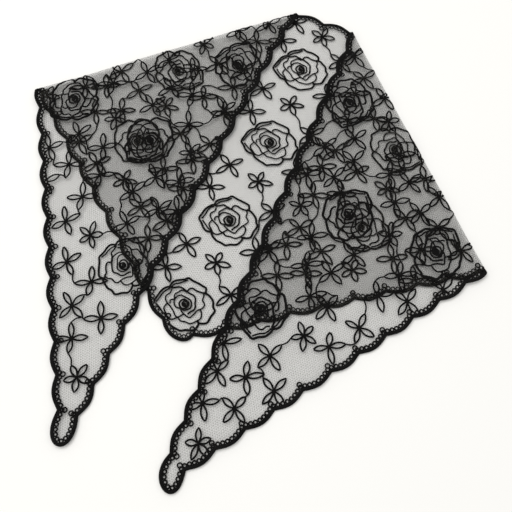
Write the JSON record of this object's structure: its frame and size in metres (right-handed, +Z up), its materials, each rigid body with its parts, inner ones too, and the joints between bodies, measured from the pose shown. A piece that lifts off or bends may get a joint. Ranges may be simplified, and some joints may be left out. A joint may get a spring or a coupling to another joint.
{
  "type": "triangular lace headscarf, lying folded",
  "caption": "Black triangular lace headscarf of sheer net with a scalloped corded border and embroidered roses, lying flat with both tips folded over.",
  "frame": {"origin": "on the surface that the scarf lies on, under the middle of its folded outline", "axes": "+Z up from the surface; +Y from the free tips towards the folds at the long hem's middle; +X to the right"},
  "size_m": [0.4738, 0.5256, 0.0049],
  "materials": {
    "net": "fine hexagonal tulle, dull, see-through",
    "thread": "raised satin-stitched cord with a soft sheen"
  },
  "bodies": {
    "root": {"net_ground": "net", "scalloped_border": "thread", "rose_01": "thread", "rose_02": "thread", "rose_03": "thread", "rose_04": "thread", "rose_05": "thread", "rose_06": "thread", "rose_07": "thread", "rose_08": "thread", "rose_09": "thread", "rose_10": "thread", "rose_11": "thread", "rose_12": "thread", "rose_13": "thread", "rose_14": "thread", "rose_15": "thread", "rose_16": "thread"}
  },
  "joints": []
}
